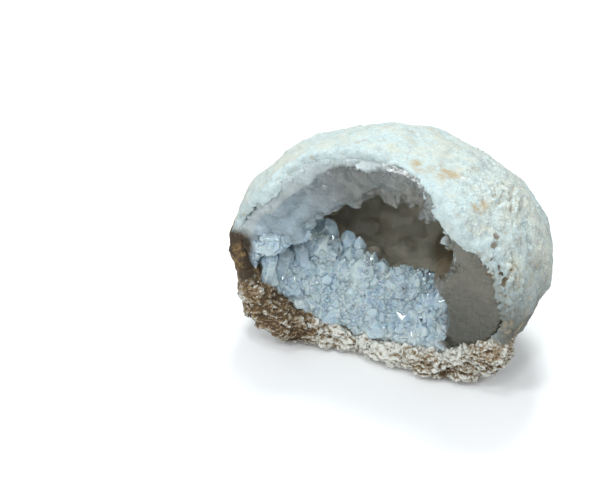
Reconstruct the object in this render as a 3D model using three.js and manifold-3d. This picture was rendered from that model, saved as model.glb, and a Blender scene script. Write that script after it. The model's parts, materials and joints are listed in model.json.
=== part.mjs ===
// Half of a broken quartz geode, about 96 mm wide: a pale stone rind, open where the stone broke,
// and the crust of quartz crystals that lines its hollow.
// Millimetres, +Z up. The broken side, with the hollow, looks along -Y and a little towards -X.

import * as THREE from "three";
import { ImprovedNoise } from "three/addons/math/ImprovedNoise.js";
import { mergeVertices } from "three/addons/utils/BufferGeometryUtils.js";
import Module from "manifold-3d";

const wasm = await Module();
wasm.setup();

// Driving dimensions. Positions are from the middle of the whole stone, before it broke.
const STONE_HALF = [49.5, 43, 39.1]; // half width, depth and height of the whole stone
const BASE_DROP = 35.4; // from the middle down to the worn flat that the half rests on
const RIND = { side: 4.6, above: 3.4, below: 10.5 }; // thickness of the rind
const SEAT_GAP = 0.35; // clearance between the rind and the crust
const BREAK_TURN = THREE.MathUtils.degToRad(-24.6); // the break's turn about Z, away from facing -Y

// The break: how far forward it lies at the middle, its lean, and how much it is saddled.
const BREAK = { middle: -10.2, perX: -0.46, perZ: -0.04, saddle: 6.6 };
// Where the break bulges forward of that: middle in X and Z, spread, and how far.
const BREAK_LOBES = [
  { at: [17, 27], spread: 11, forward: 10 },
  { at: [31, 10], spread: 10, forward: 4 },
  { at: [-37, 25], spread: 10, forward: 8 },
];
const LIP_LOBES = [
  { at: [-33, -25], spread: 13, forward: 7 },
  { at: [2, -35], spread: 14, forward: 4.5 },
];
const BREAK_ROUGH = { rind: 1.4, crust: 1, lip: 2.6, size: 6.5 }; // the lip is the low front edge

// Large swellings and flats of the outer surface: direction, angular spread and height.
const SWELLINGS = [
  { towards: [-1, 0.1, -0.25], spread: 0.42, height: -3.2 },
  { towards: [0.55, -0.55, -0.62], spread: 0.3, height: 1.6 },
  { towards: [0.75, -0.1, 0.6], spread: 0.28, height: 1.1 },
  { towards: [0.9, -0.3, -0.35], spread: 0.25, height: -1.4 },
  { towards: [-0.4, 0.8, -0.3], spread: 0.4, height: 1.5 },
  { towards: [-0.9, 0.1, 0.4], spread: 0.25, height: -1.8 },
];
const LUMPS = [
  { size: 19, height: 1.9 },
  { size: 9, height: 1.3 },
];
const PITS = { count: 46, radius: 3.4, depth: 1.3, around: [0.85, -0.35, 0.2], spread: 0.75 };

// Hollows in the crust, in the turned frame: X along the break, Y into the stone, Z up.
const HOLLOWS = [
  { at: [8, -4, 15], half: [18, 32, 16.5], tilt: 0, turn: 0, crystals: 40 },
  { at: [-5, 0, 9], half: [25, 28, 14], tilt: -0.35, turn: 0, crystals: 34 },
  { at: [5, 15, 0], half: [26, 15, 15], tilt: 0, turn: -0.35, crystals: 26 },
  { at: [-15, 17, 1], half: [15, 9, 11], tilt: 0, turn: 0, crystals: 14 },
];
const SCOOP = { at: [-8, -11, -10], half: [32, 26, 21], tilt: 0, turn: 0 };

// The slope of crystals below the hollow, in the same frame: where it starts, how steep, how domed.
const SLOPE = { foot: [-6, -26.5], rise: THREE.MathUtils.degToRad(57), bow: 5, reach: 35 };
const DOME = { at: -18, height: 5, reach: 27 };

// Crystals: spacing over the surface, width, how far they stand out, and how far their tips lean.
const HOLLOW_CRYSTALS = { width: [7, 10.5], stand: [3, 5], lean: 0.3 };
const SLOPE_CRYSTALS = { spacing: 5, width: [5, 7.6], stand: [2.4, 4.6], lean: 0.5 };
const RIDGE_CRYSTALS = { width: [5.5, 8], stand: [4, 6.5], lean: 0.4 };
const BREAK_CRYSTALS = { spacing: 6, width: [6, 9], stand: [2.5, 4.5], lean: 0.2 };
const CRYSTAL_SIDES = 6;
const CRYSTAL_ROOT = 5; // length of a crystal inside the crust
const TIP_SHARE = 0.62; // height of a crystal's point, as a share of its width

const OUTER_DETAIL = 11;
const LINING_DETAIL = 4;
const HOLLOW_DETAIL = 3;
const FAR = 90; // outside everything

const noise = new ImprovedNoise();
const vector = (values) => new THREE.Vector3(...values);
const between = ([low, high], share) => low + (high - low) * share;

let seed = 7;
const random = () => THREE.MathUtils.seededRandom(seed++);

// A closed geometry as a solid that can be joined and cut.
function solidOf(geometry) {
  const bare = geometry.clone();
  bare.deleteAttribute("normal");
  bare.deleteAttribute("uv");
  const merged = mergeVertices(bare, 1e-4);
  const vertProperties = new Float32Array(merged.attributes.position.array);
  const triVerts = new Uint32Array(merged.index.array);
  return new wasm.Manifold(new wasm.Mesh({ numProp: 3, vertProperties, triVerts }));
}

function geometryOf(solid) {
  const { vertProperties, triVerts, numProp } = solid.getMesh();
  const geometry = new THREE.BufferGeometry();
  geometry.setAttribute("position", new THREE.BufferAttribute(vertProperties, numProp));
  geometry.setIndex(new THREE.BufferAttribute(triVerts, 1));
  geometry.computeVertexNormals();
  return geometry;
}

// Moves every vertex of a geometry to where the rule puts it.
function reshape(geometry, rule) {
  const places = geometry.attributes.position;
  const point = new THREE.Vector3();
  for (let i = 0; i < places.count; i++) {
    rule(point.fromBufferAttribute(places, i));
    places.setXYZ(i, point.x, point.y, point.z);
  }
  return geometry;
}

// Outer surface

const pits = Array.from({ length: PITS.count }, () => {
  const scatter = vector([random(), random(), random()]).subScalar(0.5).multiplyScalar(2 * PITS.spread);
  const towards = vector(PITS.around).normalize().add(scatter).normalize();
  return { towards, reach: PITS.radius * (0.6 + 0.8 * random()), depth: PITS.depth * (0.5 + random()) };
});
const swellings = SWELLINGS.map((s) => ({ ...s, towards: vector(s.towards).normalize() }));

// Height of the outer surface above the smooth egg, at a point on the egg.
function relief(point) {
  const towards = point.clone().normalize();
  const reach = point.length();
  let height = 0;
  for (const s of swellings) {
    height += s.height * Math.exp(-((towards.angleTo(s.towards) / s.spread) ** 2));
  }
  for (const l of LUMPS) {
    height += l.height * noise.noise(point.x / l.size, point.y / l.size, point.z / l.size);
  }
  for (const p of pits) {
    height -= p.depth * Math.exp(-(((towards.angleTo(p.towards) * reach) / p.reach) ** 2) * 2);
  }
  return height;
}

function wholeStone() {
  const half = vector(STONE_HALF);
  const egg = new THREE.IcosahedronGeometry(1, OUTER_DETAIL);
  return reshape(egg, (point) => {
    point.multiply(half);
    point.setLength(point.length() + relief(point));
  });
}

// The smooth egg that divides the rind from the crust, made smaller by a clearance.
function lining(clearance) {
  const [width, depth, height] = STONE_HALF;
  const egg = new THREE.IcosahedronGeometry(1, LINING_DETAIL);
  return reshape(egg, (point) => {
    const upright = height - clearance - (point.z > 0 ? RIND.above : RIND.below);
    point.multiply(vector([width - RIND.side - clearance, depth - RIND.side - clearance, upright]));
  });
}

// Broken side

function breakDepth(x, z, lobes = BREAK_LOBES) {
  const saddle = (z / STONE_HALF[2]) ** 2 - (x / STONE_HALF[0]) ** 2;
  let depth = BREAK.middle + BREAK.perX * x + BREAK.perZ * z + BREAK.saddle * saddle;
  for (const { at, spread, forward } of lobes) {
    depth -= forward * Math.exp(-((x - at[0]) ** 2 + (z - at[1]) ** 2) / spread ** 2);
  }
  return depth;
}

// All that is in front of the break: a block whose back face is the broken surface.
function frontBlock({ rough, lipRough = 0, recess = 0, cells, lobes }) {
  const block = new THREE.BoxGeometry(2 * FAR, 2, 2 * FAR, cells, 1, cells);
  return reshape(block, (point) => {
    if (point.y < 0) {
      point.y = -2 * FAR;
      return;
    }
    const n = noise.noise(point.x / BREAK_ROUGH.size, 4.2, point.z / BREAK_ROUGH.size);
    const low = THREE.MathUtils.smoothstep(-point.z, 12, 26);
    point.y = breakDepth(point.x, point.z, lobes) + recess + (rough + lipRough * low) * n;
  });
}

// All that is in front of and above the slope of crystals, in the turned frame.
function aboveSlope() {
  const block = new THREE.BoxGeometry(2 * FAR, 2 * FAR, 2, 14, 14, 1);
  return reshape(block, (point) => {
    if (point.z > 0) {
      point.z = 2 * FAR;
      return;
    }
    point.z = slopeHeight(point.x, point.y);
  });
}

function slopeHeight(x, y) {
  const [footY, footZ] = SLOPE.foot;
  const inwards = y - footY + SLOPE.bow * (x / SLOPE.reach) ** 2;
  const dome = DOME.height * Math.max(0, 1 - ((x - DOME.at) / DOME.reach) ** 2);
  return footZ + inwards * Math.tan(SLOPE.rise) + dome;
}

// Hollows

function hollowMatrix({ at, tilt, turn }) {
  const matrix = new THREE.Matrix4().makeRotationZ(BREAK_TURN);
  matrix.multiply(new THREE.Matrix4().makeTranslation(...at));
  return matrix.multiply(new THREE.Matrix4().makeRotationFromEuler(new THREE.Euler(0, tilt, turn, "ZYX")));
}

function hollowGeometry(hollow) {
  const egg = new THREE.IcosahedronGeometry(1, HOLLOW_DETAIL);
  return reshape(egg, (point) => point.multiply(vector(hollow.half))).applyMatrix4(hollowMatrix(hollow));
}

// Whether a point lies inside a hollow, with its walls moved in by a margin.
function isInside(hollow, point, margin) {
  const local = point.clone().applyMatrix4(hollowMatrix(hollow).invert());
  return local.divide(vector(hollow.half).subScalar(margin)).length() < 1;
}

// Crystals

// A six-sided quartz point that stands on a place of the crust's surface and points along an axis.
function crystal(place, axis, { width, stand, lean }) {
  const radius = between(width, random()) / 2;
  const out = between(stand, random());
  const tip = 2 * radius * TIP_SHARE;
  const profile = [
    [0, -CRYSTAL_ROOT],
    [radius, -CRYSTAL_ROOT],
    [radius, out - tip],
    [0, out],
  ];
  const points = profile.map(([x, y]) => new THREE.Vector2(x, y));
  const geometry = new THREE.LatheGeometry(points, CRYSTAL_SIDES);
  geometry.scale(0.85 + 0.3 * random(), 1, 1).rotateY(2 * Math.PI * random());
  const away = vector([random(), random(), random()]).subScalar(0.5).multiplyScalar(2 * lean);
  const direction = axis.clone().add(away).normalize();
  const turn = new THREE.Quaternion().setFromUnitVectors(new THREE.Vector3(0, 1, 0), direction);
  geometry.applyQuaternion(turn).translate(place.x, place.y, place.z);
  return solidOf(geometry);
}

// Even places over the wall of a hollow, each with the direction into the hollow.
function* hollowPlaces(hollow, count) {
  const half = vector(hollow.half);
  const matrix = hollowMatrix(hollow);
  const goldenAngle = Math.PI * (3 - Math.sqrt(5));
  for (let i = 0; i < count; i++) {
    const z = 1 - (2 * i + 1) / count;
    const ring = Math.sqrt(1 - z * z);
    const unit = vector([ring * Math.cos(i * goldenAngle), z, ring * Math.sin(i * goldenAngle)]);
    const place = unit.clone().multiply(half).applyMatrix4(matrix);
    const inwards = unit.divide(half).negate().transformDirection(matrix);
    yield { place, inwards };
  }
}

function hollowCrystals(hollow, style) {
  const others = HOLLOWS.filter((other) => other !== hollow);
  const made = [];
  for (const { place, inwards } of hollowPlaces(hollow, hollow.crystals)) {
    const inFront = place.y < breakDepth(place.x, place.z) + 1;
    const turned = place.clone().applyAxisAngle(new THREE.Vector3(0, 0, 1), -BREAK_TURN);
    const inAir = turned.z > slopeHeight(turned.x, turned.y) + 1 && isInside(SCOOP, place, 1);
    const inOther = others.some((other) => isInside(other, place, 2));
    if (!inFront && !inAir && !inOther) made.push(crystal(place, inwards, style));
  }
  return made;
}

function slopeCrystals(style, ridgeStyle) {
  const made = [];
  const upright = new THREE.Vector3(0, 0, 1);
  const axis = vector([0, -Math.sin(SLOPE.rise), Math.cos(SLOPE.rise)]).applyAxisAngle(upright, BREAK_TURN);
  const stepY = style.spacing * Math.cos(SLOPE.rise);
  for (let x = -40; x <= 24; x += style.spacing) {
    let highest = null;
    for (let y = -14; y <= 18; y += stepY) {
      const px = x + (random() - 0.5) * style.spacing;
      const py = y + (random() - 0.5) * stepY;
      const place = vector([px, py, slopeHeight(px, py)]).applyAxisAngle(upright, BREAK_TURN);
      const inFront = place.y < breakDepth(place.x, place.z) + 1;
      const inHollow = HOLLOWS.some((hollow) => isInside(hollow, place, 1.5));
      if (inFront || inHollow || !isInside(SCOOP, place, 0)) continue;
      made.push(crystal(place, axis, style));
      highest = place;
    }
    if (highest) made.push(crystal(highest, upright.clone().add(axis).normalize(), ridgeStyle));
  }
  return made;
}

// Columns that lie side by side in the broken face above the hollow and end at its edge.
function breakCrystals(style) {
  const made = [];
  const middle = vector(HOLLOWS[0].at).applyMatrix4(new THREE.Matrix4().makeRotationZ(BREAK_TURN));
  const inner = vector(STONE_HALF).subScalar(RIND.side + 2);
  for (let x = -44; x <= 14; x += style.spacing) {
    for (let z = -16; z <= 36; z += style.spacing) {
      const px = x + (random() - 0.5) * style.spacing;
      const pz = z + (random() - 0.5) * style.spacing;
      const place = vector([px, breakDepth(px, pz) + 2.4, pz]);
      const inHollow = [...HOLLOWS, SCOOP].some((hollow) => isInside(hollow, place, 0));
      if (inHollow || place.clone().divide(inner).length() > 1) continue;
      const axis = middle.clone().sub(place);
      axis.y = breakDepth(px + axis.x * 0.2, pz + axis.z * 0.2) - breakDepth(px, pz);
      axis.set(axis.x * 0.2, axis.y, axis.z * 0.2).normalize();
      made.push(crystal(place, axis, style));
    }
  }
  return made;
}

// Pieces

const RIND_BREAK = {
  rough: BREAK_ROUGH.rind,
  lipRough: BREAK_ROUGH.lip,
  cells: 48,
  lobes: [...BREAK_LOBES, ...LIP_LOBES],
};
const CRUST_BREAK = { rough: BREAK_ROUGH.crust, cells: 30, lobes: BREAK_LOBES };
const stone = solidOf(wholeStone());
const underBase = solidOf(new THREE.BoxGeometry(2 * FAR, 2 * FAR, FAR).translate(0, 0, -BASE_DROP - FAR / 2));

function rindSolid() {
  return stone
    .subtract(solidOf(lining(0)))
    .subtract(solidOf(frontBlock(RIND_BREAK)))
    .subtract(underBase);
}

function crustSolid() {
  const turn = new THREE.Matrix4().makeRotationZ(BREAK_TURN);
  const core = solidOf(lining(SEAT_GAP));
  const hollows = wasm.Manifold.union(HOLLOWS.map((hollow) => solidOf(hollowGeometry(hollow))));
  const body = core
    .subtract(hollows)
    .subtract(solidOf(aboveSlope().applyMatrix4(turn)).intersect(solidOf(hollowGeometry(SCOOP))))
    .subtract(solidOf(frontBlock({ ...CRUST_BREAK, recess: 0.8 })));
  const crystals = [
    ...HOLLOWS.flatMap((hollow) => hollowCrystals(hollow, HOLLOW_CRYSTALS)),
    ...slopeCrystals(SLOPE_CRYSTALS, RIDGE_CRYSTALS),
    ...breakCrystals(BREAK_CRYSTALS),
  ];
  return wasm.Manifold.union([body, ...crystals])
    .intersect(core)
    .subtract(solidOf(frontBlock({ ...CRUST_BREAK, recess: -1.2 })));
}

const stoneLook = new THREE.MeshStandardMaterial({ color: "#d9d6c8", roughness: 0.9, metalness: 0 });
const quartzLook = new THREE.MeshStandardMaterial({ color: "#d5dde2", roughness: 0.2, metalness: 0 });

const rind = new THREE.Mesh(geometryOf(rindSolid()), stoneLook);
rind.name = "rind";
const crust = new THREE.Mesh(geometryOf(crustSolid()), quartzLook);
crust.name = "crystal_crust";

// The part's origin is under the middle of its box, on the surface that it rests on.
const half = new THREE.Group();
half.add(rind, crust);
const box = new THREE.Box3().setFromObject(half);
half.position.set(-(box.min.x + box.max.x) / 2, -(box.min.y + box.max.y) / 2, -box.min.z);

const geode = new THREE.Group();
geode.name = "geode_half";
geode.add(half);

export default geode;
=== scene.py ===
import json
import math
import random

import bpy
import numpy as np
from mathutils import Matrix, Vector, noise

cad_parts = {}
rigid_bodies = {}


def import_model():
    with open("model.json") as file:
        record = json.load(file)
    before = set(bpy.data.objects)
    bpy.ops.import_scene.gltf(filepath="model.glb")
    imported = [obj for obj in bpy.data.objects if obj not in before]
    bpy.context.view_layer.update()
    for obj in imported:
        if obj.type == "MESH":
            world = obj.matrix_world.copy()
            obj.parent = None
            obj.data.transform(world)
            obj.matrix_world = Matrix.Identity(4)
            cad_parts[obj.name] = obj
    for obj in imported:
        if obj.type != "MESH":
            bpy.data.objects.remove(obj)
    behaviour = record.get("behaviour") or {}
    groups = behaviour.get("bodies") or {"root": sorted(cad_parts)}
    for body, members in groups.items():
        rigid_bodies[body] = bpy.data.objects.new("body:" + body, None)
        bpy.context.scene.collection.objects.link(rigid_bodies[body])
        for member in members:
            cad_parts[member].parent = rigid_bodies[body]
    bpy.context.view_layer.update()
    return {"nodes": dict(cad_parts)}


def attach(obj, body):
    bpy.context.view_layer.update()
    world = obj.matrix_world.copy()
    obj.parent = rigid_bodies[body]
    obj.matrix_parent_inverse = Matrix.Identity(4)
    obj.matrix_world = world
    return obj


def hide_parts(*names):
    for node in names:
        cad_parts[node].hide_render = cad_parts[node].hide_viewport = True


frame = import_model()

print("frame loaded")

mm = 0.001
weldGap = 0.002 * mm
smallestShare = 0.01  # less than this of a zone is none
spotCore = 0.35  # share of a spot's reach that is full

# the whole stone before it broke, as the solids have it, in millimetres
stone = {
    "middle": (-1.567, -6.010, 35.4),
    "half": (49.5, 43.0, 39.1),
    "lining": (44.9, 38.4, 35.7),  # half sizes of the rind's inner wall
    "liningBelow": 28.6,  # its half height below the middle
    # the break: its turn and place at the middle, how it slants and leans, and its saddle shape
    "breakTurn": math.radians(-24.6),
    "breakPlace": -10.2,
    "breakSlant": 0.46,
    "breakLean": 0.04,
    "breakSaddle": 6.6,
    "breakLobes": [(17, 27, 11, 10), (31, 10, 10, 4), (-37, 25, 10, 8)],  # x, z, spread, forward
    "lipLobes": [(-33, -25, 13, 7), (2, -35, 14, 4.5)],
    "front": (-0.417, -0.908, -0.036),  # the way the break faces
    "hollow": (3, -8, 12),
}


def smoothStep(values, low, high):
    share = np.clip((values - low) / (high - low), 0, 1)
    return share * share * (3 - 2 * share)


def begins(design, name, values):  # 0 before the named reach, 1 past it
    return smoothStep(values, *design["reach"][name])


def ends(design, name, values):  # 1 before the named reach, 0 past it
    return 1 - begins(design, name, values)


def between(values, limits):
    return (values > limits[0]) & (values < limits[1])


def breakDepth(x, z, lobes):  # where the stone broke: y for each x and z, from the stone's middle
    width, height = stone["half"][0], stone["half"][2]
    y = stone["breakPlace"] - stone["breakSlant"] * x - stone["breakLean"] * z
    y = y + stone["breakSaddle"] * ((z / height) ** 2 - (x / width) ** 2)
    for lobeX, lobeZ, spread, forward in lobes:
        y = y - forward * np.exp(-((x - lobeX) ** 2 + (z - lobeZ) ** 2) / spread**2)
    return y


def stonePlaces(piece):  # vertex places in millimetres from the stone's middle
    places = np.zeros(len(piece.data.vertices) * 3, np.float32)
    piece.data.vertices.foreach_get("co", places)
    return (places.reshape(-1, 3) / mm - np.array(stone["middle"])).T


def vertexNormals(piece):
    return np.array([v.normal for v in piece.data.vertices]).T


def cloudiness(piece, size):  # soft noise at each vertex, between -1 and 1
    return np.array([noise.noise(v.co / size) for v in piece.data.vertices])


# working with objects

def selectOnly(*pieces):
    bpy.ops.object.select_all(action="DESELECT")
    for piece in pieces:
        piece.select_set(True)
    bpy.context.view_layer.objects.active = pieces[0]


def applyModifier(piece, kind, **settings):
    selectOnly(piece)
    modifier = piece.modifiers.new(kind.lower(), kind)
    for name, value in settings.items():
        setattr(modifier, name, value)
    bpy.ops.object.modifier_apply(modifier=modifier.name)


def copyOfNode(nodeName, pieceName):
    piece = bpy.data.objects.new(pieceName, frame["nodes"][nodeName].data.copy())
    bpy.context.scene.collection.objects.link(piece)
    piece.data.materials.clear()
    selectOnly(piece)
    bpy.ops.object.mode_set(mode="EDIT")
    bpy.ops.mesh.select_all(action="SELECT")
    bpy.ops.mesh.remove_doubles(threshold=weldGap)
    bpy.ops.object.mode_set(mode="OBJECT")
    return piece


def countTriangles(piece):
    return sum(len(face.vertices) - 2 for face in piece.data.polygons)


def maskGroup(piece, name, weights):
    group = piece.vertex_groups.new(name=name)
    for index in np.flatnonzero(weights > smallestShare):
        group.add([int(index)], float(weights[index]), "REPLACE")


def storeMask(piece, name, values):
    attribute = piece.data.attributes.new(name, "FLOAT", "POINT")
    attribute.data.foreach_set("value", np.asarray(values, np.float32))


def thinOut(piece, weights, share):  # fewer faces where nobody looks
    maskGroup(piece, "unseen", weights)
    applyModifier(piece, "DECIMATE", ratio=share, vertex_group="unseen", vertex_group_factor=1000)
    piece.vertex_groups.clear()


def swell(piece, distance, group=""):
    applyModifier(piece, "DISPLACE", strength=distance, mid_level=0, vertex_group=group)


def roughen(piece, sizeAndHeight, group, upside=1, stretch=(1, 1, 1), **settings):
    size, height = sizeAndHeight
    texture = bpy.data.textures.new(piece.name + "Relief", "CLOUDS")
    texture.noise_scale = size
    for name, value in settings.items():
        setattr(texture, name, value)
    bpy.ops.object.empty_add(rotation=(0, 0, stone["breakTurn"]))
    guide = bpy.context.object
    guide.scale = stretch
    bpy.context.view_layer.update()
    applyModifier(
        piece, "DISPLACE", texture=texture, strength=upside * height, mid_level=0.5,
        texture_coords="OBJECT", texture_coords_object=guide, vertex_group=group,
    )
    bpy.data.objects.remove(guide)


def storeRelief(piece, name, passes, reach):  # 0.5 is level, less is a pit, more is a bump
    level = piece.copy()
    level.data = piece.data.copy()
    bpy.context.scene.collection.objects.link(level)
    applyModifier(level, "SMOOTH", factor=0.5, iterations=passes)
    moved = stonePlaces(piece) - stonePlaces(level)
    storeMask(piece, name, np.clip(0.5 + (moved * vertexNormals(level)).sum(0) / reach, 0, 1))
    bpy.data.objects.remove(level)


# shader maths

class Shade:
    def __init__(self, tree, socket=None):
        self.tree = tree
        self.socket = socket

    def node(self, kind, settings, sockets, output=0):
        made = self.tree.nodes.new(kind)
        for name, value in settings.items():
            setattr(made, name, value)
        for name, value in sockets.items():
            if isinstance(value, Shade):
                self.tree.links.new(value.socket, made.inputs[name])
            else:
                made.inputs[name].default_value = value
        return Shade(self.tree, made.outputs[output])

    def maths(self, operation, first, second):
        return self.node("ShaderNodeMath", {"operation": operation}, {0: first, 1: second})

    def __add__(self, other):
        return self.maths("ADD", self, other)

    def __sub__(self, other):
        return self.maths("SUBTRACT", self, other)

    def __rsub__(self, other):
        return self.maths("SUBTRACT", other, self)

    def __mul__(self, other):
        return self.maths("MULTIPLY", self, other)

    __radd__ = __add__
    __rmul__ = __mul__

    def mix(self, share, first, second):
        first, second = ((*c, 1) if isinstance(c, tuple) else c for c in (first, second))
        settings = {"data_type": "RGBA", "clamp_factor": True}
        return self.node("ShaderNodeMix", settings, {0: share, 6: first, 7: second}, 2)

    def step(self, value, low, high):
        sockets = {"Value": value, "From Min": low, "From Max": high}
        return self.node("ShaderNodeMapRange", {"interpolation_type": "SMOOTHSTEP"}, sockets)

    def noise(self, size, detail=3, roughness=0.55):  # size in millimetres
        sockets = {"Vector": self.place(), "Scale": 1 / (size * mm)}
        return self.node("ShaderNodeTexNoise", {}, {**sockets, "Detail": detail, "Roughness": roughness})

    def cells(self, size, output=0):  # 0 gives the distance to a cell's middle, 1 the cell's own tint
        sockets = {"Vector": self.place(), "Scale": 1 / (size * mm)}
        return self.node("ShaderNodeTexVoronoi", {}, sockets, output)

    def bump(self, strengthAndDistance, height):
        strength, distance = strengthAndDistance
        return self.node("ShaderNodeBump", {}, {"Strength": strength, "Distance": distance, "Height": height})

    def place(self):
        return self.node("ShaderNodeTexCoord", {}, {}, 3)

    def attribute(self, name):
        return self.node("ShaderNodeAttribute", {"attribute_name": name}, {}, 2)


def newMaterial(name):
    material = bpy.data.materials.new(name)
    material.use_nodes = True
    tree = material.node_tree
    return material, Shade(tree), tree.nodes["Principled BSDF"]


def plug(shade, shader, name):
    shade.tree.links.new(shade.socket, shader.inputs[name])


# rind: the stone shell

rindDesign = {
    "voxel": 0.7 * mm,
    "innerShare": 0.62,  # of all faces, kept by thinning out the unseen inner wall
    "smoothing": 9,
    # size and height of each kind of roughness
    "dents": (17 * mm, 3.2 * mm),
    "lumps": (8 * mm, 1.3 * mm),
    "grain": (1.8 * mm, 0.8 * mm),
    "popcorn": (2.9 * mm, 2.6 * mm),
    "edge": (2.4 * mm, 1.6 * mm),
    "crumbs": (5.5 * mm, 4.4 * mm),
    "crevices": (2.0 * mm, 2.0 * mm),
    "cracks": (3.4 * mm, 2.4 * mm),
    "crumbStretch": (1.7, 1, 0.75),  # the lip is ragged along its length
    "dentShare": (0.55, 0.45),  # all over, and more at the back
    "grainShare": (0.75, 0.25),  # all over, and more at the right
    "edgeWear": 0.1 * mm,  # how far the broken edge stands back
    "pitDepth": 0.2 * mm,
    "lipSwell": 1.1 * mm,
    "bulge": 1.8 * mm,  # low down at the left end
    "refineFrom": 0.25,  # share of a rough zone from which its faces are cut once more
    "reliefPasses": 14,
    "reliefReach": 1.1,  # millimetres from the deepest pit to the highest bump
    # places from the stone's middle in millimetres, each with its reach
    "popcornSpots": [
        (32.5, -10.5, 29, 10), (33, -28.5, 14, 6), (30, 22, 20, 11), (-24, 30, 8, 12), (4, 36, -6, 9),
    ],
    "pitSpots": [(28.4, -23, 24.1, 1.8), (27.9, -25.3, 22.6, 2.0), (38, 14, 14, 2.2), (-12, 36, 16, 2)],
    "stainSpots": [
        (8, -6.8, 36.8, 4), (15.5, -9.6, 35.6, 5.5), (24, -17.7, 30.9, 4), (-6, 26, 30, 7),
        (20, 32, 10, 9), (-30, 28, -4, 9), (6, 37, 2, 7),
    ],
    "creamSpots": [(19.3, -17.6, -22.4, 7), (-6, -6, -28, 18)],
    # where each zone begins and ends, and how far its border wanders, in millimetres
    "reach": {
        "overFlat": (0.6, 4), "low": (6, 20), "edge": (1.2, 4), "lip": (7, 13), "back": (14, 38),
        "limb": (33, 43), "limbTop": (-12, 2), "limbBack": (2, 18),
        "leftEnd": (36, 41), "leftEndTop": (-11, -2), "leftEndBack": (0, 9),
        "cracked": (20, 26), "crackedTop": (-24, -18), "crackedBack": (5, 9),
        "right": (20, 34), "dark": (18, 30), "lowRight": (20, 37), "lowRightTop": (-16, 10),
        "bulge": (32, 41), "bulgeTop": (-6, 4), "bulgeBack": (14, 26),
    },
    "wander": {
        "lip": 3, "back": 14, "limb": 9, "limbTop": 6, "limbBack": 14, "leftEndBack": 5,
        "lowRight": 9, "lowRightTop": 12,
    },
    "wanderSize": 13 * mm,
    "innerFrom": 5,  # the inner wall begins this far behind the break
    "rightTilt": (0.35, 0.15),  # how the right side slants, front to back and upwards
    "roughness": (0.80, 0.16),
    "bump": (0.8, 0.5 * mm),
    "colours": {
        "white": (0.40, 0.505, 0.515),
        "cream": (0.45, 0.465, 0.40),
        "grey": (0.24, 0.29, 0.30),
        "specks": (0.57, 0.67, 0.67),
        "oliveAndShade": (0.10, 0.105, 0.09),
        "edge": (0.40, 0.49, 0.50),
        "tan": (0.36, 0.29, 0.18),
        "pit": (0.11, 0.075, 0.04),
        "brown": (0.038, 0.023, 0.010),
        "ochre": (0.22, 0.14, 0.06),
        "lipPale": (0.60, 0.60, 0.54),
        "lipGrey": (0.30, 0.28, 0.235),
        "lipBrown": (0.075, 0.047, 0.022),
    },
}


def nearSpots(x, y, z, spots):  # 1 at each spot, 0 at its reach
    share = np.zeros(len(x))
    for spotX, spotY, spotZ, reach in spots:
        distance = np.sqrt((x - spotX) ** 2 + (y - spotY) ** 2 + (z - spotZ) ** 2)
        share = np.maximum(share, 1 - smoothStep(distance, spotCore * reach, reach))
    return share


def rindZones(rind, design):  # share of each zone of the rind at each vertex
    x, y, z = stonePlaces(rind)
    normalX, normalY, normalZ = vertexNormals(rind)
    behind = y - breakDepth(x, z, stone["breakLobes"] + stone["lipLobes"])
    clusters = cloudiness(rind, design["wanderSize"])

    def share(name, values):
        return smoothStep(values + design["wander"].get(name, 0) * clusters, *design["reach"][name])

    low = share("low", -z)
    edge = 1 - share("edge", behind)
    lip = low * (1 - share("lip", behind))
    limb = share("limb", -x) * share("limbTop", -z) * (1 - share("limbBack", behind))
    leftEnd = share("leftEnd", -x) * share("leftEndTop", -z) * (1 - share("leftEndBack", behind))
    cracked = share("cracked", x) * share("crackedTop", -z) * (1 - share("crackedBack", behind))
    back = share("back", behind)
    tiltY, tiltZ = design["rightTilt"]
    return {
        "clear": share("overFlat", z + stone["middle"][2]),  # nothing is moved on the flat that it rests on
        "inner": (behind > design["innerFrom"]) * (x * normalX + y * normalY + z * normalZ < 0),
        "edge": edge * (1 - low),
        "lip": lip,
        "cracked": cracked * (1 - low),
        "right": share("right", x - tiltY * y + tiltZ * z) * (1 - edge),
        "popcorn": nearSpots(x, y, z, design["popcornSpots"]) * (1 - lip),
        "pits": nearSpots(x, y, z, design["pitSpots"]),
        "stain": nearSpots(x, y, z, design["stainSpots"]),
        "cream": nearSpots(x, y, z, design["creamSpots"]),
        "dark": share("dark", -x),  # the left end of the lip
        "brown": np.maximum(leftEnd, limb),
        # the lower right, darkened with olive and painted shade
        "low": share("lowRight", x) * share("lowRightTop", -z) * (1 - back),
        "back": back,
        "bulge": share("bulge", -x) * share("bulgeTop", -z) * (1 - share("bulgeBack", behind)),
    }


def refine(piece, wanted):  # one more cut across the faces that need fine relief
    selectOnly(piece)
    faces = [all(wanted[index] for index in face.vertices) for face in piece.data.polygons]
    bpy.ops.object.mode_set(mode="EDIT")
    bpy.ops.mesh.select_mode(type="FACE")
    bpy.ops.mesh.select_all(action="DESELECT")
    bpy.ops.object.mode_set(mode="OBJECT")
    piece.data.polygons.foreach_set("select", faces)
    bpy.ops.object.mode_set(mode="EDIT")
    bpy.ops.mesh.subdivide(number_cuts=1)
    bpy.ops.object.mode_set(mode="OBJECT")


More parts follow.
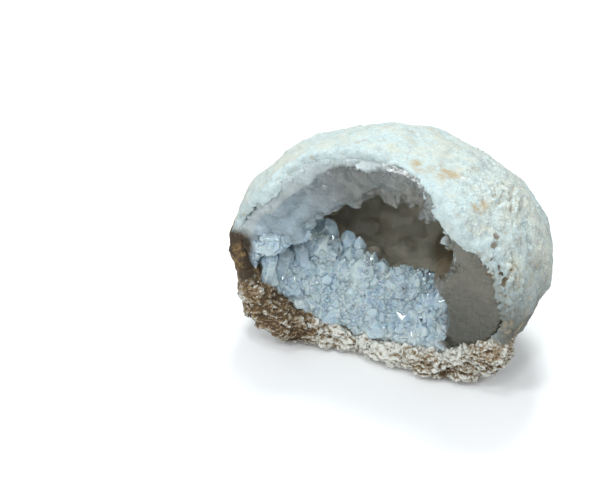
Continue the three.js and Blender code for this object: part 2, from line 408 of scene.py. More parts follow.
def makeRind(design):
    rind = copyOfNode("rind", "rindStone")
    applyModifier(rind, "REMESH", mode="VOXEL", voxel_size=design["voxel"])
    applyModifier(rind, "SMOOTH", factor=0.5, iterations=design["smoothing"])
    thinOut(rind, rindZones(rind, design)["inner"], design["innerShare"])
    zones = rindZones(rind, design)
    rough = np.maximum.reduce([zones["lip"], zones["popcorn"], zones["cracked"]]) * zones["clear"]
    refine(rind, rough > design["refineFrom"])

    zones = rindZones(rind, design)
    outer = (1 - zones["lip"]) * zones["clear"]
    allOver, atBack = design["dentShare"]
    maskGroup(rind, "outer", outer)
    maskGroup(rind, "dented", outer * (allOver + atBack * zones["back"]))
    allOver, atRight = design["grainShare"]
    maskGroup(rind, "grainy", (allOver + atRight * zones["right"]) * outer)
    for name in ("popcorn", "edge", "lip", "bulge"):
        maskGroup(rind, name, zones[name] * zones["clear"])
    for name in ("pits", "cracked"):
        maskGroup(rind, name, zones[name])

    swell(rind, design["lipSwell"], "lip")
    swell(rind, design["bulge"], "bulge")
    roughen(rind, design["dents"], "dented")
    roughen(rind, design["lumps"], "outer")
    roughen(rind, design["grain"], "grainy", noise_depth=2)
    roughen(rind, design["popcorn"], "popcorn", upside=-1, noise_basis="VORONOI_F1", noise_depth=1)
    roughen(rind, design["edge"], "edge", noise_depth=2)
    swell(rind, -design["edgeWear"], "edge")
    ragged = {"stretch": design["crumbStretch"], "noise_type": "HARD_NOISE"}
    roughen(rind, design["crumbs"], "lip", upside=-1, noise_depth=3, **ragged)
    roughen(rind, design["crevices"], "lip", noise_depth=2, **ragged)
    roughen(rind, design["cracks"], "cracked", noise_depth=3, noise_type="HARD_NOISE")
    swell(rind, -design["pitDepth"], "pits")
    rind.vertex_groups.clear()
    for name in ("lip", "edge", "right", "popcorn", "pits", "stain", "cream", "dark", "brown", "low"):
        storeMask(rind, name, zones[name])
    storeRelief(rind, "relief", design["reliefPasses"], design["reliefReach"])
    selectOnly(rind)
    bpy.ops.object.shade_smooth()
    return rind


def makeRindMaterial(design):
    material, s, shader = newMaterial("chalkyRind")
    colours = design["colours"]
    relief, lip, right, popcorn = (s.attribute(name) for name in ("relief", "lip", "right", "popcorn"))
    broad, blotch, fine = s.noise(20, 4), s.noise(5, 5), s.noise(1.0, 4)
    # the chalky skin, mottled grey, with olive low down on the right: partly its own tone, partly painted
    # shade where that side turns from the light
    skin = s.mix(s.step(broad * 0.4 + blotch * 0.6, 0.38, 0.64), colours["cream"], colours["white"])
    skin = s.mix(s.step(s.attribute("edge") + blotch - 0.5, 0.3, 0.6) * 0.7, skin, colours["edge"])
    mottle = s.step(s.noise(2.2, 6, 0.7), 0.47, 0.62)
    skin = s.mix(mottle * (0.32 + 0.43 * right), skin, colours["grey"])
    specks = s.step(s.noise(0.7, 4, 0.7), 0.52, 0.64) * (0.42 + 0.46 * right)
    skin = s.mix(specks, skin, colours["specks"])
    # painted shade in part: olive blotches darken the lower right, which turns from the light
    skin = s.mix(s.attribute("low") * s.step(blotch + 0.4 * fine, 0.12, 0.55), skin, colours["oliveAndShade"])
    # stains, and dirt in the pits
    tanned = s.noise(3.5, 6, 0.7) + 0.1 * s.attribute("stain")
    skin = s.mix(s.step(tanned, 0.50, 0.68) * (0.14 + 0.8 * s.attribute("stain")), skin, colours["tan"])
    hollows = relief + 0.25 * fine - 0.08 * popcorn
    skin = s.mix(s.step(hollows, 0.54, 0.40) * (0.3 + 0.3 * right), skin, colours["tan"])
    skin = s.mix(s.step(hollows, 0.42, 0.24) * 0.95, skin, colours["pit"])
    skin = s.mix(s.step(s.attribute("pits") + 1.5 * fine, 1.2, 1.7) * 0.8, skin, colours["pit"])
    # the brown left end, its darkness partly painted shade from the piece that stood beside it
    limb = s.mix(s.step(blotch + 0.5 * fine, 0.68, 1.0), colours["brown"], colours["ochre"])
    stained = s.attribute("brown") + 1.1 * blotch + 0.6 * fine - 0.9
    skin = s.mix(s.step(stained, -0.02, 0.3) * 0.75, skin, colours["tan"])
    skin = s.mix(s.step(stained, 0.1, 0.6), skin, limb)
    # the lip, pale on its bumps
    pale = relief * 0.9 + fine * 0.6 + blotch * 0.6 + s.noise(0.5, 2) * 0.5 - 0.85
    pale = pale + s.attribute("cream") * 0.2 - s.attribute("dark") * 0.24
    rock = s.mix(s.step(pale, 0.12, 0.40), colours["lipBrown"], colours["ochre"])
    rock = s.mix(s.step(pale, 0.26, 0.54), rock, colours["lipGrey"])
    rock = s.mix(s.step(pale, 0.40, 0.76), rock, colours["lipPale"])
    plug(s.mix(s.step(lip + fine * 0.3 - 0.15, 0.2, 0.45), skin, rock), shader, "Base Color")
    smoothest, rougher = design["roughness"]
    plug(smoothest + rougher * fine, shader, "Roughness")
    height = s.noise(0.7, 5) * 0.5 + s.cells(0.8) * 0.3 + s.noise(2.2, 6, 0.7) * 0.8
    plug(s.bump(design["bump"], height), shader, "Normal")
    return material


rind = makeRind(rindDesign)
rind.data.materials.append(makeRindMaterial(rindDesign))
print("rind made:", countTriangles(rind), "triangles")


# crystal crust

crustDesign = {
    "voxel": 0.85 * mm,
    "smoothing": 6,
    "swell": 0.35 * mm,  # gives back what the smoothing takes
    "wornVoxel": 0.6 * mm,
    "wear": 1,  # how soft the broken face and the back of the hollow are
    "hiddenShare": 0.5,  # of all faces, kept by thinning out the unseen outer side
    "rimGrain": (1.5 * mm, 0.7 * mm),
    "rimGrowth": 0.06,  # how far the broken quartz reaches out over the rind's edge
    "skinLeft": 1.8,  # millimetres of rind left outside it
    "creaseAngle": math.radians(18),
    # one quartz point; lengths in radii
    "seed": 11,
    "variants": 10,
    "root": 1.6,  # below the surface
    "columnRoot": 4.5,
    "barLength": 12,  # before its ends are cut
    "bevel": 0.09,  # width of the worn edges
    "faceAngle": math.radians(51.8),  # of the end faces
    "largeFaces": (0.50, 0.62),  # distance of the end faces from the middle
    "smallFaces": (0.6, 0.85),
    "width": (0.8, 1.15),
    "length": (0.9, 1.2),
    "sameWay": 0.999,  # cosine from which a face counts as one of the flat ones
    "spin": (0, 6.3),  # round its axis, in radians
    "largeShare": 0.15,  # this many are larger
    "largeSize": 1.35,
    # spacing and radius in millimetres, how far a crystal stands out in radii, and how far it leans at
    # random, upwards and towards the hollow
    "ridge": {"spacing": 2.6, "radius": (1.9, 2.9), "stand": (0.2, 0.7), "lean": 0.4, "rise": 0.8},
    "mound": {"spacing": 2.2, "radius": (1.3, 2.5), "stand": (0.3, 0.9), "lean": 0.5, "rise": 0.5},
    "moundFine": {"spacing": 1.25, "radius": (0.4, 0.9), "stand": (0.7, 1.8), "lean": 1.0, "rise": 0.4},
    "hollow": {"spacing": 3.0, "radius": (2.0, 3.2), "stand": (-0.1, 0.3), "lean": 0.3},
    "glints": {"spacing": 1.6, "radius": (0.6, 1.2), "stand": (0.5, 1.3), "lean": 0.6},
    "rim": {"spacing": 1.6, "radius": (0.6, 1.3), "stand": (-0.1, 0.4), "lean": 0.6, "inward": 0.5},
    # these lie in the broken face; overhang past the hollow's edge and height over the face in millimetres
    "columns": {
        "spacing": 2.5, "radius": (1.7, 2.8), "overhang": (0.4, 2.2), "proud": (0.4, 1.2), "lean": 0.25,
    },
    "tips": {
        "spacing": 1.8, "radius": (1.1, 1.7), "overhang": (1.5, 4.0), "proud": (0.3, 0.9), "lean": 0.2,
    },
    "tipsRight": {
        "spacing": 1.4, "radius": (0.9, 1.5), "overhang": (2.5, 8.0), "proud": (0.3, 0.9), "lean": 0.25,
    },
    "gridStep": 3.5 * mm,  # no spacing is wider
    # the large clear crystals along the ridge: tip from the stone's middle, and radius
    "ridgeTips": [
        (-22.4, 11.5, 0.8, 2.4), (-17.8, 15.3, 4.3, 3.0), (-11.7, 12.5, 2.0, 2.6),
        (-7.8, 10.7, 0.6, 2.4), (-0.9, 5.3, -4.6, 2.4), (3.4, 2.3, -7.0, 2.6), (10.3, -0.3, -8.2, 3.0),
        (14.0, -1.6, -6.5, 3.2), (-14.4, 11, -2.0, 2.3), (-10.2, 9.1, -2.2, 2.5),
        (-18.4, 11.2, -1.6, 2.5), (-6.9, 7.6, -2.2, 2.2), (-10.8, 5.7, -5.6, 2.6), (-34, 6, -1.5, 2.5),
        (-30, 8, -1, 2.8), (-26, 9, 0.5, 2.6), (-33, 9.5, -4, 2.5), (-28, 12, -2.5, 2.8),
        (-36.5, 6.5, -3, 2.2),
    ],
    "ridgeWay": (0, -0.15, 1),
    # the small ones at the right of the opening, which point across it
    "sideTips": [
        (12.8, -20.5, 28, 1.3), (13.6, -21.2, 24, 1.2), (14.2, -21, 21.5, 1.0), (13.4, -19.4, 19, 1.5),
        (14.8, -18.8, 17, 1.1), (16.9, -19.2, 12, 1.3), (16.8, -18.6, 9, 1.4), (16.9, -18.2, 6.2, 1.2),
        (17.2, -18.4, 3.6, 1.2), (13.9, -20.2, 26, 0.9), (14.6, -19.6, 20.2, 0.8),
    ],
    "sideWay": (-0.95, -0.2, -0.2),
    "tipLean": 0.25,
    # how far a tip lies past the place of its crystal, in radii
    "pointTip": 0.8,
    "columnTip": 0.9,
    "setTip": 0.95,
    "halfWidth": 0.87,  # from its axis to its flat sides
    "notchSpots": [(16.7, -10, 5.2, 10), (15.5, -7, 0, 9), (19.5, 17, -9, 8)],
    "wander": 6,
    "wanderSize": 5 * mm,
    # where each zone begins and ends, in millimetres or in shares of the lining's size
    "reach": {
        "moundFoot": (-5, -3), "moundCrest": (6, 8), "moundTop": (0, 3),
        "blueFoot": (-6, -4), "blueCrest": (9, 12), "blueTop": (5, 8),
        "leftStart": (-41, -39), "leftStop": (-21, -18), "leftTop": (5, 8), "leftBack": (3, 4),
        "rightStop": (19, 21), "rightLow": (4, 10),
        "front": (2, 3), "bareBack": (5, 7), "bareStart": (14, 16), "bareTop": (23, 25),
        "growLining": (0.80, 0.95), "growBack": (2, 6), "growLow": (-6, 4), "growLeft": (-38, -32),
        "rimLining": (0.92, 0.98), "rimBack": (2, 4), "deep": (5, 20), "height": (-16, 18),
        "chalkLining": (0.95, 1.05), "chalkLeft": (12, 28), "chalkLow": (-4, 6), "chalkRight": (-14, 4),
        "paleStart": (10, 12.5), "paleStop": (20, 22), "paleLow": (13, 15.5), "paleBack": (4, 6),
        "tierFront": (1.5, 4), "tierBack": (8, 14), "tierLow": (4, 10),
        "tierStart": (-24, -4), "tierStop": (9, 12),
        "warm": (-25, 5), "brown": (38.5, 43), "brownTop": (-12, -2),
    },
    # and the limits of what grows there
    "limits": {
        "ridgeSlope": (-1, 10), "ridgeLow": -9, "ridgeRight": -3,
        "glintLeft": 10, "glintLow": -2, "glintFacing": 0.1, "glintLining": 0.95,
        "columnRight": 11, "columnFacing": 0.3, "columnLow": 6,
        "leftColumns": (-37, -14), "leftColumnLow": 3,
        "tipsBehind": (2.5, 7), "tipsFacing": 0.25, "tipsLow": 9, "tipsLining": 0.93,
        "tips": (-26, -5), "tipsRight": (-5, 13),
        "rimLining": 0.97, "plainFacing": 0.3, "hollowFrom": 9,
        "hiddenLining": 1.05, "hiddenBehind": 3, "hiddenBehindLining": 0.955,
    },
    "rightWander": 0.7,  # how the mound's right end wanders, and steps back low down
    "rightStep": 3,
    "chalkMore": 0.08,  # at the left
    "chalkLess": 0.7,  # at the right
    # partly painted highlight on the small crystals at the right
    "glintChalk": 0.8,
    "warmTilt": 0.5,
    "brownTilt": 0.1,
    # the slope that the mound follows
    "slopeFoot": -26.5,
    "slopeBack": 6,
    "slopeCurve": (5, 35),  # how far its ends come forward, and where
    "slopeAngle": math.radians(57),
    "slopeDome": (5, -18, 27),  # height, middle and half width
    # the quartz
    "transmission": 0.5,
    "ior": 1.544,
    "glow": 0.8 * mm,  # how far light travels under the surface
    "glowTint": (0.9, 1, 1.1),
    "absorbed": (0.75, 0.90, 0.97),
    "density": 60,
    "gloss": 0.03,
    "bump": (0.5, 0.2 * mm),
    "facet": 3.2,  # millimetres across, on the broken face and in the hollow
    "colours": {
        "clear": (0.62, 0.81, 0.98),
        "milky": (0.77, 0.92, 1.0),
        # painted highlight along the crystal edges
        "rimHighlight": (0.84, 0.94, 1.0),
        "shaded": (0.42, 0.56, 0.70),
        # painted glints
        "paintedGlint": (0.98, 1.0, 1.0),
        # painted light and shade: the back of the hollow is lighter high up and darker low down
        "deep": (0.95, 0.91, 0.75),  # the back of the hollow
        "deepShade": (0.66, 0.61, 0.49),
        "cool": (0.44, 0.55, 0.61),  # the broken face on the left
        "warm": (0.24, 0.24, 0.205),  # and on the right
        "shadow": (0, 0, 0),  # over its darker facets
        "tier": (0.20, 0.175, 0.13),  # the crystals that hang down behind it
        "chalk": (0.62, 0.69, 0.69),  # towards the rind
        "plain": (0.095, 0.092, 0.060),
        "plainPale": (0.19, 0.175, 0.12),
        "notch": (0.19, 0.135, 0.07),
        "brown": (0.032, 0.016, 0.005),
        "ochre": (0.17, 0.105, 0.04),
    },
}


def makeQuartzPoint(design, number, dice, root):  # six sides, three large and three small end faces
    bpy.ops.object.select_all(action="DESELECT")
    bpy.ops.mesh.primitive_cylinder_add(vertices=6, radius=1, depth=design["barLength"], location=(0, 0, 0))
    point = bpy.context.object
    point.name = "quartzPoint%d" % number
    flats = [face.normal.copy() for face in point.data.polygons if abs(face.normal.z) < 0.5]
    slants = []
    bpy.ops.object.mode_set(mode="EDIT")
    for index, flat in enumerate(flats):
        slant = flat * math.sin(design["faceAngle"]) + Vector((0, 0, math.cos(design["faceAngle"])))
        reach = dice.uniform(*(design["largeFaces"] if index % 2 == 0 else design["smallFaces"]))
        bpy.ops.mesh.select_all(action="SELECT")
        bpy.ops.mesh.bisect(plane_co=slant * reach, plane_no=slant, use_fill=True, clear_outer=True)
        slants.append(slant)
    bpy.ops.mesh.select_all(action="SELECT")
    bpy.ops.mesh.bevel(offset=design["bevel"], segments=1)
    bpy.ops.mesh.select_all(action="SELECT")
    bpy.ops.mesh.bisect(plane_co=(0, 0, -root), plane_no=(0, 0, -1), use_fill=True, clear_outer=True)
    bpy.ops.object.mode_set(mode="OBJECT")
    # the bevelled faces along the crystal's edges, which get a painted highlight
    rimHighlight = [max(face.normal.dot(flat) for flat in flats + slants) for face in point.data.polygons]
    rimHighlight = [alike < design["sameWay"] for alike in rimHighlight]
    point.data.attributes.new("rimHighlight", "FLOAT", "FACE").data.foreach_set("value", rimHighlight)
    return point


def turned(x, y):  # along the break and into the stone
    c, s = math.cos(stone["breakTurn"]), math.sin(stone["breakTurn"])
    return x * c + y * s, -x * s + y * c


def slopeHeight(design, along, inwards):
    domeHeight, domeMiddle, domeHalf = design["slopeDome"]
    curve, curveHalf = design["slopeCurve"]
    dome = domeHeight * np.maximum(0, 1 - ((along - domeMiddle) / domeHalf) ** 2)
    run = inwards + design["slopeBack"] + curve * (along / curveHalf) ** 2
    return design["slopeFoot"] + run * math.tan(design["slopeAngle"]) + dome


def crustZones(crust, design):  # share of each zone of the crust at each vertex
    x, y, z = stonePlaces(crust)
    limits = design["limits"]
    wander = design["wander"] * cloudiness(crust, design["wanderSize"])
    along, inwards = turned(x, y)
    behind = y - breakDepth(x, z, stone["breakLobes"])
    width, depth, heightAbove = stone["lining"]
    height = np.where(z > 0, heightAbove, stone["liningBelow"])
    lining = np.sqrt((x / width) ** 2 + (y / depth) ** 2 + (z / height) ** 2)  # 1 at the rind's inner wall
    towards = np.array([stone["hollow"]]).T - np.array([x, y, z])
    facing = (vertexNormals(crust) * towards).sum(0) / np.linalg.norm(towards, axis=0)  # 1 towards the hollow
    above = z - slopeHeight(design, along, inwards)

    # the mound and its left end, which stop at the bare face on the right
    leftEnd = begins(design, "leftStart", x) * ends(design, "leftStop", x)
    leftEnd = leftEnd * ends(design, "leftTop", z + wander) * ends(design, "leftBack", behind)
    stepped = along + design["rightWander"] * wander - design["rightStep"] * begins(design, "rightLow", -z)
    rightEnd = ends(design, "rightStop", stepped)
    mound = begins(design, "moundFoot", above) * ends(design, "moundCrest", above)
    mound = np.maximum(mound * ends(design, "moundTop", z), leftEnd) * rightEnd
    blue = begins(design, "blueFoot", above) * ends(design, "blueCrest", above)
    blue = np.maximum(blue * ends(design, "blueTop", z), leftEnd) * rightEnd

    # the broken face round the opening
    front = ends(design, "front", behind) * (1 - mound)
    bare = ends(design, "bareBack", behind) * (1 - mound)
    bare = bare * begins(design, "bareStart", x) * ends(design, "bareTop", z)
    plain = bare * (facing < limits["plainFacing"])
    glints = (x > limits["glintLeft"]) & (z > limits["glintLow"]) & (facing > limits["glintFacing"])
    leftColumns = between(x, limits["leftColumns"]) & (z > limits["leftColumnLow"])
    columns = ((z > limits["columnLow"]) | leftColumns) & (facing > limits["columnFacing"])
    under = between(behind, limits["tipsBehind"]) & (facing > limits["tipsFacing"])
    under = under & (z > limits["tipsLow"]) & (lining < limits["tipsLining"])
    ridge = between(above, limits["ridgeSlope"]) & (z > limits["ridgeLow"]) & (x < limits["ridgeRight"])
    farBehind = (lining > limits["hiddenBehindLining"]) & (behind > limits["hiddenBehind"])
    return {
        "mound": mound,
        "moundFine": mound,
        "ridge": mound * ridge,
        "blue": blue,
        "plain": plain,  # the bare broken face on the right
        "glints": front * glints * (lining < limits["glintLining"]),
        "columns": front * columns * (x < limits["columnRight"]),
        "rim": front * (lining > limits["rimLining"]) * (1 - plain),
        "tips": under & between(x, limits["tips"]),
        "tipsRight": under & between(x, limits["tipsRight"]),
        "hollow": (1 - mound) * (1 - plain) * (behind > limits["hollowFrom"]),
        "hidden": (lining > limits["hiddenLining"]) | farBehind,
        "behind": behind,  # millimetres behind the break
        "lining": lining,
    }


def scatterPoints(base, zones, design, dice, names):  # places for the crystals of the named zones
    places = [v.co for v in base.data.vertices]
    order = list(range(len(places)))
    dice.shuffle(order)
    taken = {}
    chosen = []
    for index in order:
        zone = next((name for name in names if zones[name][index] > 0.5), None)
        if zone is None or zones["hidden"][index]:
            continue
        spacing = design[zone]["spacing"] * mm
        cell = tuple(int(math.floor(c / design["gridStep"])) for c in places[index])
        near = (
            place
            for dx in (-1, 0, 1) for dy in (-1, 0, 1) for dz in (-1, 0, 1)
            for place in taken.get((cell[0] + dx, cell[1] + dy, cell[2] + dz), ())
        )
        if any((place - places[index]).length < spacing for place in near):
            continue
        taken.setdefault(cell, []).append(places[index])
        chosen.append((places[index].copy(), base.data.vertices[index].normal.copy(), zone))
    return chosen


def growRim(crust, design):  # out over the rind's edge, except low down and at the left
    x, y, z = stonePlaces(crust)
    zones = crustZones(crust, design)
    share = begins(design, "growLining", zones["lining"]) * ends(design, "growBack", zones["behind"])
    share = design["rimGrowth"] * share * begins(design, "growLow", z) * begins(design, "growLeft", x)
    places = np.array([x * (1 + share), y, z * (1 + share)]).T + np.array(stone["middle"])
    crust.data.vertices.foreach_set("co", (places * mm).astype(np.float32).ravel())
    crust.data.update()


def addPoint(points, design, model, dice, place, axis, radius):
    point = model.copy()
    point.data = model.data.copy()
    spin = Matrix.Rotation(dice.uniform(*design["spin"]), 4, "Z")
    turn = axis.to_track_quat("Z", "Y").to_matrix().to_4x4() @ spin
    width = radius * dice.uniform(*design["width"])
    length = radius * dice.uniform(*design["length"])
    point.matrix_world = Matrix.Translation(place) @ turn @ Matrix.Diagonal((width, radius, length, 1))
    points.objects.link(point)


def addZonePoint(points, design, models, dice, style, place, normal):
    radius = dice.uniform(*style["radius"]) * mm
    if dice.random() < design["largeShare"]:
        radius *= design["largeSize"]
    lean = Vector([dice.uniform(-1, 1) for _ in range(3)]) * style["lean"]
    front = Vector(stone["front"])
    inward = (Vector(stone["middle"]) + Vector(stone["hollow"])) * mm - place
    inward = (inward - inward.dot(front) * front).normalized()
    if "overhang" in style:
        axis = (inward + lean).normalized()
        along = dice.uniform(*style["overhang"]) * mm - design["columnTip"] * radius
        under = design["halfWidth"] * radius - dice.uniform(*style["proud"]) * mm
        place = place + along * axis - under * front
        model = dice.choice(models["columns"])
    else:
        rise = Vector((0, 0, style.get("rise", 0)))
        axis = (normal + rise + style.get("inward", 0) * inward + lean).normalized()
        place = place + axis * radius * (dice.uniform(*style["stand"]) - design["pointTip"])
        model = dice.choice(models["points"])
    addPoint(points, design, model, dice, place, axis, radius)


def growPoints(crust, design, dice, models, passes, tips):  # joins crystals to the crust, zone by zone
    points = bpy.data.collections.new("quartzPoints")
    bpy.context.scene.collection.children.link(points)
    zones = crustZones(crust, design)
    for names in passes:
        for place, normal, zone in scatterPoints(crust, zones, design, dice, names):
            addZonePoint(points, design, models, dice, design[zone], place, normal)
    leanMost = design["tipLean"]
    for way, *tip, radius in tips:
        lean = Vector([dice.uniform(-leanMost, leanMost) for _ in range(3)])
        axis = (Vector(way) + lean).normalized()
        place = (Vector(stone["middle"]) + Vector(tip) - design["setTip"] * radius * axis) * mm
        addPoint(points, design, dice.choice(models["columns"]), dice, place, axis, radius * mm)
    applyModifier(
        crust, "BOOLEAN", operation="UNION", operand_type="COLLECTION", collection=points,
        solver="MANIFOLD",
    )
    for point in list(points.objects):
        bpy.data.objects.remove(point)
    bpy.data.collections.remove(points)


def makeTrim(design):  # a little smaller than the stone, so that nothing comes out through the skin
    bpy.ops.object.select_all(action="DESELECT")
    bpy.ops.mesh.primitive_uv_sphere_add(
        segments=64, ring_count=32, radius=1, location=Vector(stone["middle"]) * mm,
        scale=[(half - design["skinLeft"]) * mm for half in stone["half"]],
    )
    return bpy.context.object


def storeCrustMasks(crust, design):
    x, y, z = stonePlaces(crust)
    zones = crustZones(crust, design)
    behind, lining, mound, plain = (zones[name] for name in ("behind", "lining", "mound", "plain"))
    face = 1 - zones["blue"]
    storeMask(crust, "deep", begins(design, "deep", behind) * face)
    storeMask(crust, "plain", plain)
    chalk = begins(design, "chalkLining", lining + design["chalkMore"] * begins(design, "chalkLeft", -x))
    chalk = chalk * (1 - mound) * begins(design, "chalkLow", z)
    chalk = chalk * (1 - design["chalkLess"] * begins(design, "chalkRight", x))
    # partly painted highlight: the small crystals at the right of the opening are made chalk-pale, partly
    # their own white, partly standing in for their glints
    pale = begins(design, "paleStart", x) * ends(design, "paleStop", x) * begins(design, "paleLow", z)
    pale = design["glintChalk"] * pale * ends(design, "paleBack", behind)
    storeMask(crust, "chalk", np.maximum(chalk, pale))
    storeMask(crust, "height", begins(design, "height", z))
    storeMask(crust, "broken", face)
    tier = begins(design, "tierFront", behind) * ends(design, "tierBack", behind)
    tier = tier * begins(design, "tierLow", z) * face
    storeMask(crust, "tier", tier * begins(design, "tierStart", x) * ends(design, "tierStop", x))
    storeMask(crust, "warm", begins(design, "warm", x + design["warmTilt"] * z))
    brown = begins(design, "brown", -x + design["brownTilt"] * z) * begins(design, "brownTop", -z)
    storeMask(crust, "brown", brown)
    notch = nearSpots(x, y, z, design["notchSpots"])
    storeMask(crust, "notch", notch * (1 - np.maximum(mound, plain)))


def makeCrust(design):
    dice = random.Random(design["seed"])
    crust = copyOfNode("crystal_crust", "quartzCrust")
    applyModifier(crust, "REMESH", mode="VOXEL", voxel_size=design["voxel"])
    applyModifier(crust, "SMOOTH", factor=0.5, iterations=design["smoothing"])
    swell(crust, design["swell"])
    growRim(crust, design)
    numbers = range(design["variants"])
    models = {
        "points": [makeQuartzPoint(design, number, dice, design["root"]) for number in numbers],
        "columns": [makeQuartzPoint(design, number, dice, design["columnRoot"]) for number in numbers],
    }
    # worn crystals first, softened together
    worn = (("columns",), ("tips", "tipsRight"), ("hollow",))
    growPoints(crust, design, dice, models, worn, [])
    trim = makeTrim(design)
    applyModifier(crust, "BOOLEAN", operation="INTERSECT", object=trim, solver="MANIFOLD")
    applyModifier(crust, "REMESH", mode="VOXEL", voxel_size=design["wornVoxel"])
    applyModifier(crust, "SMOOTH", factor=0.5, iterations=design["wear"])
    thinOut(crust, crustZones(crust, design)["hidden"], design["hiddenShare"])
    zones = crustZones(crust, design)
    rim = begins(design, "rimLining", zones["lining"]) * ends(design, "rimBack", zones["behind"])
    maskGroup(crust, "rim", rim * (1 - zones["plain"]))
    roughen(crust, design["rimGrain"], "rim", noise_depth=2, noise_type="HARD_NOISE")
    crust.vertex_groups.clear()
    # then the sharp ones
    sharp = (("ridge", "mound", "glints", "rim"), ("moundFine",))
    tips = [(design["ridgeWay"], *tip) for tip in design["ridgeTips"]]
    tips += [(design["sideWay"], *tip) for tip in design["sideTips"]]
    growPoints(crust, design, dice, models, sharp, tips)
    applyModifier(crust, "BOOLEAN", operation="INTERSECT", object=trim, solver="MANIFOLD")
    for spare in models["points"] + models["columns"] + [trim]:
        bpy.data.objects.remove(spare)
    storeCrustMasks(crust, design)
    crust.data.materials.clear()
    selectOnly(crust)
    bpy.ops.object.shade_smooth_by_angle(angle=design["creaseAngle"])
    return crust


def makeCrustMaterial(design):
    material, s, shader = newMaterial("milkyQuartz")
    colours = design["colours"]
    deep, broken, tall, notch = (s.attribute(name) for name in ("deep", "broken", "height", "notch"))
    brown = s.attribute("brown")
    cloud = s.noise(7, 4)
    # the mound, clear and milky, with painted shade in darker patches and painted glints in white specks
    colour = s.mix(s.step(cloud, 0.36, 0.64), colours["clear"], colours["milky"])
    # painted shade: darker grey-blue patches standing in for facets turned from the light
    shadePatches = s.step(s.noise(2.4, 4, 0.65), 0.48, 0.64)
    colour = s.mix(shadePatches * 0.5, colour, colours["shaded"])
    # painted glints: small white specks standing in for sparkles off the facets
    paintedGlint = s.step(s.noise(0.8, 3, 0.7), 0.55, 0.65) * s.step(s.noise(4, 3), 0.40, 0.58)
    colour = s.mix(paintedGlint * 0.9, colour, colours["paintedGlint"])
    # the broken face, in facets
    face = s.mix(s.attribute("warm"), colours["cool"], colours["warm"])
    facets = s.step(s.cells(design["facet"], 1), 0.2, 0.8)
    face = s.mix(facets * 0.25, face, colours["shadow"])
    face = s.mix(s.attribute("tier"), face, colours["tier"])
    colour = s.mix(broken * 0.9, colour, face)
    # painted highlight: the bevelled edges of the crystals are lightened, standing in for light caught at
    # their edges
    colour = s.mix(s.attribute("rimHighlight") * (0.4 - 0.2 * broken), colour, colours["rimHighlight"])
    chalk = s.step(s.attribute("chalk") + 0.5 * s.noise(1.6, 3), 0.5, 1.0)
    colour = s.mix(chalk, colour, colours["chalk"])
    bare = s.mix(s.step(cloud + tall, 0.6, 1.3), colours["plain"], colours["plainPale"])
    colour = s.mix(s.attribute("plain") * 0.9, colour, bare)
    # the hollow: its back wall lighter high up (painted light) and darker low down (painted shade), with
    # painted shade on some facets
    back = s.mix(s.step(tall, 0.25, 0.7), colours["deepShade"], colours["deep"])
    back = s.mix(facets * 0.22, back, colours["shadow"])
    colour = s.mix(deep * 0.95, colour, back)
    colour = s.mix(notch * 0.9, colour, colours["notch"])
    # brown at the left end, its darkness partly painted shade from the piece that stood beside it
    limb = s.mix(s.step(s.noise(1.8, 5, 0.65), 0.46, 0.66), colours["brown"], colours["ochre"])
    colour = s.mix(s.step(brown + 0.35 * s.noise(2, 4), 0.3, 1.0), colour, limb)
    plug(colour, shader, "Base Color")
    frosted = 0.12 * s.step(s.noise(3, 3), 0.45, 0.7)
    matt = 0.2 * broken + 0.2 * chalk + 0.3 * deep + 0.6 * notch + 0.5 * brown
    plug(0.04 + frosted + matt, shader, "Roughness")
    plug(1 - broken, shader, "Coat Weight")
    height = s.noise(0.9, 3) * 0.4 + s.cells(0.8) * 0.6 - broken * s.cells(design["facet"]) * 2
    height = height + (1 - broken) * (s.cells(1.3) * 3 + s.noise(0.6, 2) * 1.2)
    plug(s.bump(design["bump"], height), shader, "Normal")
    shader.inputs["Coat Roughness"].default_value = design["gloss"]
    shader.inputs["Transmission Weight"].default_value = design["transmission"]
    shader.inputs["IOR"].default_value = design["ior"]
    shader.inputs["Subsurface Weight"].default_value = 1
    shader.inputs["Subsurface Radius"].default_value = design["glowTint"]
    shader.inputs["Subsurface Scale"].default_value = design["glow"]
    sockets = {"Color": (*design["absorbed"], 1), "Density": design["density"]}
    inside = s.node("ShaderNodeVolumeAbsorption", {}, sockets)
    s.tree.links.new(inside.socket, s.tree.nodes["Material Output"].inputs["Volume"])
    return material


crust = makeCrust(crustDesign)
crust.data.materials.append(makeCrustMaterial(crustDesign))
print("crust made:", countTriangles(crust), "triangles")


# floor, light and camera

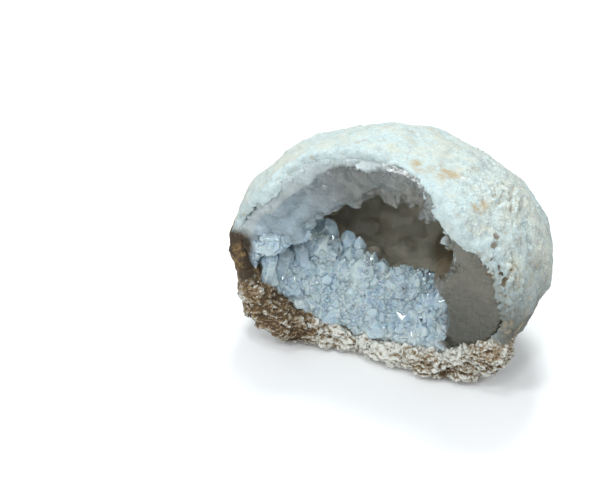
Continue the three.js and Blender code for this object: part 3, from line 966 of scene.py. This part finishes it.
stageDesign = {
    "floor": (0.86, 0.86, 0.86),
    "floorSize": 4,
    "floorRoughness": 0.9,
    "sky": 0.54,
    "skyColour": (0.97, 0.98, 1),
    "aim": (0, 0, 0.035),
    "keyPlace": (0.03, 0.24, 0.6),
    "keySize": 0.2,
    "keyPower": 2.8,
    "keyColour": (0.95, 0.99, 1),
    "fillPlaces": [
        (-0.12, -0.39, 0.53), (-0.36, -0.26, 0.48), (0.14, -0.42, 0.50), (-0.1, -0.22, 0.64),
        (-0.22, -0.5, 0.4),
    ],
    "fillSize": 0.09,
    "fillPower": 0.72,
    "fillColour": (0.92, 0.97, 1),
    "cameraPlace": (-0.02767, -0.37153, 0.29793),
    "cameraTilt": math.radians(55),
    "lens": 90,
    "sensor": 36,
    "nearest": 0.01,
}


def addLight(design, kind, place):
    bpy.ops.object.light_add(type="AREA", location=place)
    lamp = bpy.context.object
    lamp.name = kind + "Light"
    lamp.data.size = design[kind + "Size"]
    lamp.data.energy = design[kind + "Power"]
    lamp.data.color = design[kind + "Colour"]
    lamp.rotation_euler = (Vector(design["aim"]) - Vector(place)).to_track_quat("-Z", "Y").to_euler()


def makeStage(design):
    bpy.ops.object.select_all(action="DESELECT")
    bpy.ops.mesh.primitive_plane_add(size=design["floorSize"], location=(0, 0, 0))
    floor = bpy.context.object
    floor.name = "floor"
    material, _, shader = newMaterial("paleFloor")
    shader.inputs["Base Color"].default_value = (*design["floor"], 1)
    shader.inputs["Roughness"].default_value = design["floorRoughness"]
    floor.data.materials.append(material)

    addLight(design, "key", design["keyPlace"])
    for place in design["fillPlaces"]:
        addLight(design, "fill", place)
    world = bpy.data.worlds.new("studio")
    world.use_nodes = True
    world.node_tree.nodes["Background"].inputs["Color"].default_value = (*design["skyColour"], 1)
    world.node_tree.nodes["Background"].inputs["Strength"].default_value = design["sky"]
    bpy.context.scene.world = world

    bpy.ops.object.camera_add(location=design["cameraPlace"], rotation=(design["cameraTilt"], 0, 0))
    camera = bpy.context.object
    camera.data.lens = design["lens"]
    camera.data.sensor_width = design["sensor"]
    camera.data.clip_start = design["nearest"]
    bpy.context.scene.camera = camera
    bpy.context.scene.view_settings.view_transform = "Standard"


makeStage(stageDesign)
print("stage made")


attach(rind, "root")
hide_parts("rind")
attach(crust, "root")
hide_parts("crystal_crust")
